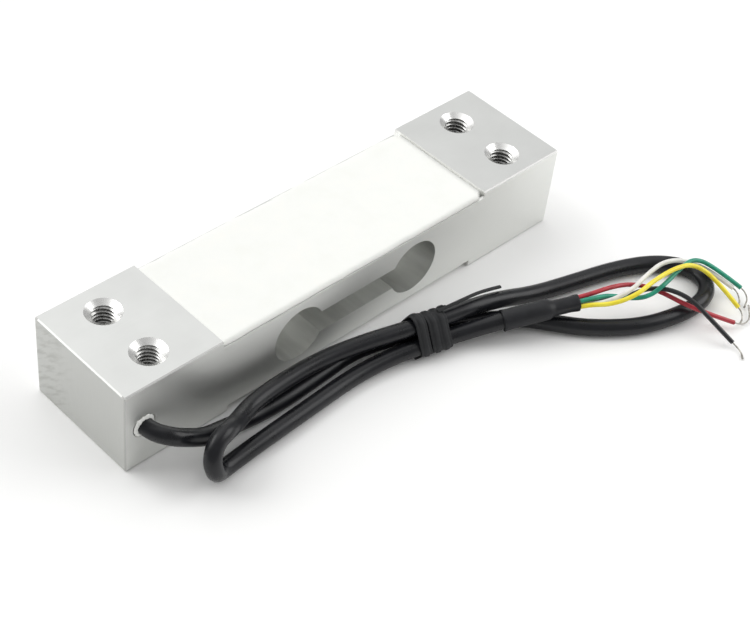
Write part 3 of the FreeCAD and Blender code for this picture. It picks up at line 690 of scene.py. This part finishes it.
def sleeve_radius(distance, angle):
    """Outer radius: full over the jacket, stepped down over the wires' ridges, a little open at both ends."""
    step = smooth(*SLEEVE_STEP, distance)
    ridges = WIRE_RIDGE * math.cos(len(WIRES) * angle + RIDGE_TURN) * smooth(*RIDGE_RISE, distance)
    neck = NECK_RADIUS + ridges + neck_flare(distance)
    creases = SLEEVE_CREASE * waver(
        3, distance * CREASES_ALONG, CREASES_ROUND * math.cos(angle), CREASES_ROUND * math.sin(angle))
    lip = SLEEVE_LIP * (1 - smooth(-SLEEVE_ON_JACKET, -SLEEVE_ON_JACKET + LIP_LENGTH, distance))
    return SLEEVE_RADIUS * (1 - step) + neck * step + creases + lip


def sleeve_bore(distance):
    step = smooth(*BORE_STEP, distance)
    return (CABLE_DIAMETER / 2 + SLEEVE_SLACK) * (1 - step) + (NECK_BORE + neck_flare(distance)) * step


def make_sleeve():
    stations = sleeve_path()
    angles = [math.tau * index / SLEEVE_SIDES for index in range(SLEEVE_SIDES)]
    outer = []
    inner = []
    for (distance, place), (side, up) in zip(stations, directions([place for _, place in stations])):
        ways = [(a, up * math.cos(a) + side * math.sin(a)) for a in angles]
        outer.append([(place + way * sleeve_radius(distance, a)) * MM for a, way in ways])
        inner.append([(place + way * sleeve_bore(distance)) * MM for _, way in ways])
    skin = loft(outer + inner[::-1], ring_of_rings=True)
    return finished(mesh_piece("shrink_sleeve", *skin, SLEEVE), ["heat_shrink_sleeve"])


sleeve = make_sleeve()


# The tie: a flat plastic-coated strip wound three times round the bundle, its loose tail and its other end

TIE_MIDDLE_X = 10.4
UPPER_STRANDS = 5.0
TIE_RUN = (Vector((7.5, -29.2, 3.0)), Vector((15.6, -31.4, 3.1)))
TIE_REACH = 12.0
TIE_PITCH = 2.2
# The first turn's distance from the others, and the turns in which it closes up
FIRST_GAP = 0.9
GAP_TURNS = (0.6, 1.3)
FIRST_STAND_OFF = 0.5
STAND_OFF_TURNS = (0.7, 0.9)
# Wavering along the bundle and off it: amount and waves in a turn
TIE_WANDER = (0.2, 2.3)
TIE_SLACK = (0.12, 3.1)
SLACK_ABOVE = 0.12
TIE_TURNS = 3.4
TIE_START = -0.5
TURN_STEPS = 72
STRIP_OFFSET = 2.12
STRIP_SIZES = {"Width": 2.8 * MM, "Edge Thickness": 0.45 * MM, "Core Thickness": 0.72 * MM}
TAIL_SIZES = {"Width": 0.85 * MM, "Edge Thickness": 0.6 * MM, "Core Thickness": 0.8 * MM}
TAIL_TURN = 49.0
STUB_TURN = 180.0


def tied_strands(middle, axis, shift):
    """Where the three strands of the cable cross one plane of the tie: centres in millimetres."""
    found = []
    for first, second in zip(cable_line, cable_line[1:]):
        start = (first / MM - middle).dot(axis) - shift
        end = (second / MM - middle).dot(axis) - shift
        if (start < 0) != (end < 0):
            place = (first + (second - first) * (start / (start - end))) / MM
            if (place - middle).length < TIE_REACH:
                found.append(place)
    return found


def tie_winding():
    """Path of the strip's middle round the bundle, with the way it faces, in millimetres."""
    upper = (point for point in cable_line if point.z > UPPER_STRANDS * MM)
    middle = min(upper, key=lambda point: abs(point.x / MM - TIE_MIDDLE_X)) / MM
    axis = (TIE_RUN[1] - TIE_RUN[0]).normalized()
    front, up = square_to(axis)
    wander, wander_waves = TIE_WANDER
    looseness, loose_waves = TIE_SLACK
    path = []
    for step in range(int(TIE_TURNS * TURN_STEPS) + 1):
        turn = TIE_START + step / TURN_STEPS
        angle = math.tau * turn
        wound = turn - TIE_START
        above = max(0.0, math.cos(angle))
        shift = (wound - TIE_TURNS / 2) * TIE_PITCH + FIRST_GAP * (smooth(*GAP_TURNS, wound) - 0.5)
        shift += wander * waver(5, turn * wander_waves)
        outward = up * math.cos(angle) + front * math.sin(angle)
        reach = max(tied_strands(middle, axis, shift), key=lambda c: c.dot(outward))
        slack = looseness * (1 + waver(6, turn * loose_waves)) + SLACK_ABOVE * above
        slack += FIRST_STAND_OFF * above ** 3 * (1 - smooth(*STAND_OFF_TURNS, wound))
        path.append((reach + outward * (STRIP_OFFSET + slack), outward))
    return path


def loose_end(points, turn):
    """A loose end along its own spline, with the strip turned about it by an angle from lying flat."""
    places = [point / MM for point in route_line(points)]
    angle = math.radians(turn)
    return [(place, up * math.cos(angle) - side * math.sin(angle))
            for place, (side, up) in zip(places, directions(places))]


def strip_tree():
    add, given = start_tree("wound_strip", STRIP_SIZES)
    path = add("GeometryNodeMeshToCurve", {"Mesh": given["Geometry"]})
    outward = add("GeometryNodeInputNamedAttribute", {"Name": "outward"}, data_type="FLOAT_VECTOR")
    faced = add("GeometryNodeSetCurveNormal", {"Curve": path, "Normal": outward}, mode="FREE")
    # the section: two flat wings with the wire core standing out between them
    wings = add("GeometryNodeCurvePrimitiveQuadrilateral", {
        "Width": given["Edge Thickness"], "Height": given["Width"]})
    dense = add("GeometryNodeResampleCurve", {"Curve": wings, "Count": 40})
    spot = add("GeometryNodeInputPosition")
    axes = add("ShaderNodeSeparateXYZ", [spot]).outputs
    half = add("ShaderNodeMath", [given["Width"], 0.5], operation="MULTIPLY")
    out_by = add("ShaderNodeMath", [axes["Y"], half], operation="DIVIDE")
    square = add("ShaderNodeMath", [out_by, out_by], operation="MULTIPLY")
    ridge = add("ShaderNodeMapRange", {
        "Value": square, "From Min": 0.02, "From Max": 0.3, "To Min": 1.0, "To Max": 0.0},
        interpolation_type="SMOOTHSTEP")
    rounding = add("ShaderNodeMapRange", {
        "Value": square, "From Min": 0.7, "To Min": 1.0, "To Max": 0.55}, interpolation_type="SMOOTHSTEP")
    extra = add("ShaderNodeMath", [given["Core Thickness"], given["Edge Thickness"]], operation="SUBTRACT")
    lift = add("ShaderNodeMath", [ridge, extra], operation="MULTIPLY")
    outer = add("ShaderNodeMath", [axes["X"], 0.0], operation="GREATER_THAN")
    raised = add("ShaderNodeMath", [lift, outer], operation="MULTIPLY")
    thick = add("ShaderNodeMath", [axes["X"], rounding, raised], operation="MULTIPLY_ADD")
    moved = add("ShaderNodeCombineXYZ", {"X": thick, "Y": axes["Y"]})
    section = add("GeometryNodeSetPosition", {"Geometry": dense, "Position": moved})
    swept = add("GeometryNodeCurveToMesh", {"Curve": faced, "Profile Curve": section, "Fill Caps": True})
    return close_tree(add, given, swept)


def strip_lines(name, paths):
    """Loose edges along the strip's paths, with the way the strip faces kept on each point."""
    vertices = []
    edges = []
    facing = []
    for path in paths:
        first = len(vertices)
        vertices += [place * MM for place, _ in path]
        facing += [value for _, outward in path for value in outward]
        edges += [(first + index, first + index + 1) for index in range(len(path) - 1)]
    mesh = bpy.data.meshes.new(name)
    mesh.from_pydata([tuple(v) for v in vertices], edges, [])
    mesh.attributes.new("outward", "FLOAT_VECTOR", "POINT").data.foreach_set("vector", facing)
    return link_object(name, mesh)


def make_tie():
    """The strip with its short end, and the narrow loose tail."""
    tree = strip_tree()
    made = []
    for name, paths, sizes in (
            ("twist_tie_strip", [tie_winding(), loose_end(TIE_STUB, STUB_TURN)], STRIP_SIZES),
            ("twist_tie_tail", [loose_end(TIE_TAIL, TAIL_TURN)], TAIL_SIZES)):
        piece = run_tree(strip_lines(name, paths), tree, sizes, TIE)
        made.append(finished(piece, ["twist_tie"]))
    return made


tie_pieces = make_tie()


# Silicone: the two sheets over the gauges and the bead round the cable

SHEET_STATIONS = 150
SHEET_ACROSS = 46
CORNER_STEPS = 7
SHEET_HALF_WIDTH = 14.86
SHEET_LEVEL = 1.1
SHEET_FOOT = 0.02
EDGE_FALL = 0.9
LEAST_FOOT = 0.2
NEAR_GAP = 0.2
END_CLOSENESS = 0.35
# What fades from the near and the far end: amount and length
TUCK = ((0.3, 1.0), (0.9, 1.9))
CLIMB = ((0.35, 0.7), (0.15, 0.5))
FAR_TROUGH = 0.15
TROUGH_FADE = (0.3, 3.5)
# Wavering of the edges and of the top: amount and waves in a millimetre, along and across
FRONT_WAVER = ((0.12, 0.23), (0.05, 0.9))
BACK_WAVER = ((0.3, 0.2), (0.08, 0.8))
TOP_WAVER = ((0.07, 0.07, 0.11), (0.025, 0.35, 0.35))
# Rounding of the edges: radius, its wavering and waves in a millimetre
FRONT_ROUND = (0.85, 0.2, 0.3)
BACK_ROUND = (1.7, 0.5, 0.2)
# Each sheet: its CAD node, half its length, its floor's height, the way it faces and its seed
SHEETS = {
    "silicone_sheet_top": ("top_sealant", 39.3, BEAM_HEIGHT - RECESS_DEPTH, 1, 1.0),
    "silicone_sheet_bottom": ("bottom_sealant", 37.5, RECESS_DEPTH, -1, 8.0),
}


def sheet_section(x, half_length, seed):
    """One cross-section of a sealant sheet, in millimetres: across the beam, and above the recess floor."""
    to_ends = (x + half_length, half_length - x)

    def by_ends(amounts):
        return sum(amount * (1 - smooth(0.0, length, distance))
                   for (amount, length), distance in zip(amounts, to_ends))

    def edge(wavers, first_seed):
        drawn_in = sum(amount * (1 + waver(first_seed + index, x * waves))
                       for index, (amount, waves) in enumerate(wavers))
        return SHEET_HALF_WIDTH - by_ends(TUCK) - drawn_in

    def top(y):
        swell = sum(amount * waver(seed + 4 + index, x * along, y * across)
                    for index, (amount, along, across) in enumerate(TOP_WAVER))
        trough = FAR_TROUGH * (1 - smooth(*TROUGH_FADE, to_ends[1]))
        return SHEET_LEVEL + by_ends(CLIMB) - trough + swell

    def corner(side, width, rounding, corner_seed):
        """Where the round edge on one side starts, and its points from the foot up."""
        radius, amount, waves = rounding
        radius += amount * waver(corner_seed, x * waves)
        inner = side * (width - radius)
        points = [(side * width, SHEET_FOOT)]
        for step in range(CORNER_STEPS + 1):
            angle = math.pi / 2 * step / CORNER_STEPS
            fall = min(EDGE_FALL, top(inner) - LEAST_FOOT) * (1 - math.sin(angle))
            points.append((side * (width - radius * (1 - math.cos(angle))), top(inner) - fall))
        return inner, points

    low, front_points = corner(-1, edge(FRONT_WAVER, seed), FRONT_ROUND, seed + 6)
    high, back_points = corner(1, edge(BACK_WAVER, seed + 2), BACK_ROUND, seed + 7)
    across = [low + (high - low) * step / SHEET_ACROSS for step in range(1, SHEET_ACROSS)]
    return front_points + [(y, top(y)) for y in across] + back_points[::-1]


def make_sheet(name, node, half_length, floor_z, facing, seed):
    rings = []
    for station in range(SHEET_STATIONS + 1):
        # closer stations near the two ends, where the sheet meets the metal
        share = station / SHEET_STATIONS
        spread = END_CLOSENESS * math.cos(math.pi * share) + (1 - END_CLOSENESS) * (1 - 2 * share)
        x = NEAR_GAP / 2 - (half_length - NEAR_GAP / 2) * spread
        rings.append([mm((x, y, floor_z + facing * z)) for y, z in sheet_section(x, half_length, seed)])
    return finished(mesh_piece(name, *loft(rings), SILICONE), [node])


for sheet_name, sheet in SHEETS.items():
    make_sheet(sheet_name, *sheet)

BEAD_SIDES = 96
BEAD_BORE = 2.01
BEAD_IN_HOLE = 2.48
BEAD_DEPTH = 2.4
BEAD_THICKEST = 150.0
# How far the bead reaches out and stands proud: least, more where thick, more where ragged, least raggedness
BEAD_REACH = (2.62, 0.22, 0.3, -0.4)
BEAD_PROUD = (0.14, 0.12, 0.16, -0.6)
# Raggedness: seed, share and waves
BEAD_RAGGED = ((2, 1.0, 2.2), (4, 0.7, 5.0), (7, 0.4, 11.0))
BEAD_CREEP = 0.15
CREEP_WAVES = 4.0


def bead_amount(amounts, thick, ragged):
    least, more_thick, more_ragged, least_ragged = amounts
    return least + more_thick * thick + more_ragged * max(least_ragged, ragged)


def make_bead():
    """A ragged bead of silicone, wiped into the cable hole's mouth: thickest on the end's side and above."""
    hole_x, face_y, hole_z = CABLE_EXIT
    rings = []
    for index in range(BEAD_SIDES):
        angle = math.tau * index / BEAD_SIDES
        c, s = math.cos(angle), math.sin(angle)
        ragged = sum(share * waver(seed, waves * c, waves * s) for seed, share, waves in BEAD_RAGGED)
        thick = 0.5 + 0.5 * math.cos(angle - math.radians(BEAD_THICKEST))
        reach = bead_amount(BEAD_REACH, thick, ragged)
        proud = bead_amount(BEAD_PROUD, thick, ragged)
        creep = proud + BEAD_CREEP * (1 + waver(10, CREEP_WAVES * c, CREEP_WAVES * s))
        # radius and depth: up the hole's wall, out over its edge, and back over the bead to the cable
        profile = [(BEAD_BORE, BEAD_DEPTH), (BEAD_IN_HOLE, BEAD_DEPTH), (BEAD_IN_HOLE, 0.5),
                   (reach - 0.12, 0.02), (reach, -0.03), (reach - 0.06, -0.12), (2.55, -proud * 0.75),
                   (2.4, -proud), (2.2, -proud - 0.1), (2.08, -creep), (BEAD_BORE, -creep - 0.05)]
        rings.append([mm((hole_x + r * c, face_y + d, hole_z + r * s)) for r, d in profile])
    skin = loft(rings, ring_of_rings=True)
    return finished(mesh_piece("silicone_bead", *skin, SILICONE), ["cable_seal"])


bead = make_bead()


# Tapped threads: one ridge wound down each mounting hole

HOLE_PITCHES = {"Pitch X": HOLE_PITCH_X * MM, "Pitch Y": HOLE_PITCH_Y * MM}
THREAD_PITCH = 1.0
THREAD_LOW = 1.2
THREAD_DEPTH = BEAM_HEIGHT - 2 * THREAD_LOW
THREAD_SIZES = {
    "Radius": 3.04 * MM, "Ridge Height": 0.54 * MM, "Ridge Base": 0.86 * MM, "Ridge Crest": 0.2 * MM,
    "Low End": THREAD_LOW * MM, "Depth": THREAD_DEPTH * MM, "Turns": THREAD_DEPTH / THREAD_PITCH,
    **HOLE_PITCHES,
}


def at_holes(add, given, shape):
    """The shape at each of the four mounting holes."""
    holes = add("GeometryNodeMeshGrid", {
        "Size X": given["Pitch X"], "Size Y": given["Pitch Y"], "Vertices X": 2, "Vertices Y": 2})
    return add("GeometryNodeInstanceOnPoints", {"Points": holes, "Instance": shape})


def add_in_holes(name, tree, sizes, material):
    """A piece of the beam that a tree makes in each mounting hole."""
    start = link_object(name, bpy.data.meshes.new(name))
    piece = run_tree(start, tree, sizes, material, shade_smooth=False)
    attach(piece, "root")


def thread_tree():
    add, given = start_tree("tapped_thread", THREAD_SIZES)
    helix = add("GeometryNodeCurveSpiral", {
        "Resolution": 40, "Rotations": given["Turns"], "Start Radius": given["Radius"],
        "End Radius": given["Radius"], "Height": given["Depth"], "Reverse": True})
    spot = add("GeometryNodeInputPosition")
    inward = add("ShaderNodeVectorMath", [spot, (-1, -1, 0)], operation="MULTIPLY")
    unit = add("ShaderNodeVectorMath", [inward], operation="NORMALIZE")
    faced = add("GeometryNodeSetCurveNormal", {"Curve": helix, "Normal": unit}, mode="FREE")
    # the ridge fades out in the first half turn at each end, where the countersink cuts it
    along = add("GeometryNodeSplineParameter").outputs
    folded = add("ShaderNodeMath", [along["Factor"], 0.5], operation="PINGPONG")
    turned = add("ShaderNodeMath", [folded, given["Turns"]], operation="MULTIPLY")
    fade = add("ShaderNodeMapRange", {"Value": turned, "From Max": 0.5, "To Min": 0.08})
    ridge = add("GeometryNodeCurvePrimitiveQuadrilateral", {
        "Height": given["Ridge Height"], "Bottom Width": given["Ridge Base"],
        "Top Width": given["Ridge Crest"], "Offset": 0.0}, mode="TRAPEZOID")
    half = add("ShaderNodeMath", [given["Ridge Height"], 0.5], operation="MULTIPLY")
    shift = add("ShaderNodeCombineXYZ", {"X": half})
    turned_ridge = add("GeometryNodeTransform", {
        "Geometry": ridge, "Translation": shift, "Rotation": (0, 0, -math.pi / 2)})
    swept = add("GeometryNodeCurveToMesh", {
        "Curve": faced, "Profile Curve": turned_ridge, "Scale": fade, "Fill Caps": True})
    lift = add("ShaderNodeCombineXYZ", {"Z": given["Low End"]})
    raised = add("GeometryNodeTransform", {"Geometry": swept, "Translation": lift})
    return close_tree(add, given, at_holes(add, given, raised))


add_in_holes("tapped_threads", thread_tree(), THREAD_SIZES, THREAD)


# The countersinks' faces run on over the first of the thread: one ring in each mouth, over the plain holes

RIM_SIZES = {
    "Outer Radius": 4.14 * MM, "Inner Radius": 2.72 * MM, "Cone Depth": 0.85 * MM,
    "Bar Height": BEAM_HEIGHT * MM, **HOLE_PITCHES,
}
# The ring's section, as shares of its width and depth: the cone's face, and a root that lies inside the metal
RIM_SECTION = ((0.0, 0.0), (1.0, 1.0), (0.6, 1.35), (0.3, 0.7))


def rim_tree():
    add, given = start_tree("countersink_rim", RIM_SIZES)
    circle = add("GeometryNodeCurvePrimitiveCircle", {"Resolution": 96, "Radius": given["Outer Radius"]})
    spot = add("GeometryNodeInputPosition")
    inward = add("ShaderNodeVectorMath", {0: spot, "Scale": -1.0}, operation="SCALE")
    faced = add("GeometryNodeSetCurveNormal", {"Curve": circle, "Normal": inward}, mode="FREE")
    width = add("ShaderNodeMath", [given["Outer Radius"], given["Inner Radius"]], operation="SUBTRACT")
    slope = add("ShaderNodeCombineXYZ", {"X": width, "Y": given["Cone Depth"]})
    corners = {}
    for number, (x, y) in enumerate(RIM_SECTION, 1):
        corner = add("ShaderNodeVectorMath", [slope, (x, -y, 0.0)], operation="MULTIPLY")
        corners[f"Point {number}"] = corner
    section = add("GeometryNodeCurvePrimitiveQuadrilateral", corners, mode="POINTS")
    ring = add("GeometryNodeCurveToMesh", {"Curve": faced, "Profile Curve": section})
    height = add("ShaderNodeCombineXYZ", {"Z": given["Bar Height"]})
    upper = add("GeometryNodeTransform", {"Geometry": ring, "Translation": height})
    lower = add("GeometryNodeTransform", {"Geometry": ring, "Rotation": (math.pi, 0, 0)})
    both = add("GeometryNodeJoinGeometry", {0: [upper, lower]})
    return close_tree(add, given, at_holes(add, given, both))


add_in_holes("countersink_rims", rim_tree(), RIM_SIZES, ALUMINIUM)


# Finishes of the CAD nodes that stay

def paint(node_name, material):
    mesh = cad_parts[node_name].data
    mesh.materials.clear()
    mesh.materials.append(material)


paint("beam", ALUMINIUM)
for node_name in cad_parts:
    for start in sorted(HIDDEN_FINISHES, key=len):
        if node_name.startswith(start):
            paint(node_name, HIDDEN_FINISHES[start])


# The cable rides the body, in place of its CAD node

finished(cable, ["cable"])


# Floor and light

FLOOR_HALF = 3.0
FLOOR_DROP = 0.05
ROOM_LIGHT = 0.4
CEILING_LIGHT = 1.4
CEILING_WAY = (0.15, 0.51, 0.847)
CEILING_EDGE = (0.6, 0.98)
LIGHT_TARGET = (0.0, 0.0, 0.01)
# Each softbox: its place and its side in metres, and its power in watts
SOFTBOXES = {
    "softbox_right": ((0.42, -0.3, 0.36), 0.45, 1.65),
    "softbox_left": ((-0.52, 0.75, 0.78), 0.9, 6.2),
}


def add_floor():
    corners = ((-1, -1), (1, -1), (1, 1), (-1, 1))
    level = [(x * FLOOR_HALF, y * FLOOR_HALF, -FLOOR_DROP * MM) for x, y in corners]
    mesh_piece("floor", level, [(0, 1, 2, 3)], pale_paper(), False)


def add_softbox(name, place, side, power):
    data = bpy.data.lights.new(name, "AREA")
    data.size = side
    data.energy = power
    light = link_object(name, data)
    turned = (Vector(LIGHT_TARGET) - Vector(place)).to_track_quat("-Z", "Y").to_matrix().to_4x4()
    light.matrix_world = Matrix.Translation(Vector(place)) @ turned


def add_world():
    """A dim room with a bright ceiling over the beam's back."""
    world = bpy.data.worlds.new("studio")
    world.use_nodes = True
    bpy.context.scene.world = world
    add = partial(add_node, world.node_tree)
    way = add("ShaderNodeTexCoord")
    ceiling = add("ShaderNodeVectorMath", [way.outputs["Generated"], CEILING_WAY], operation="DOT_PRODUCT")
    starts, full = CEILING_EDGE
    lit = add("ShaderNodeMapRange", {
        "Value": ceiling.outputs["Value"], "From Min": starts, "From Max": full, "To Min": ROOM_LIGHT,
        "To Max": CEILING_LIGHT}, interpolation_type="SMOOTHSTEP")
    fill(world.node_tree.nodes["Background"], {"Strength": lit, "Color": (1.0, 1.0, 1.0, 1.0)})


add_floor()
add_world()
for box_name, box in SOFTBOXES.items():
    add_softbox(box_name, *box)
bpy.context.scene.view_settings.view_transform = "Standard"
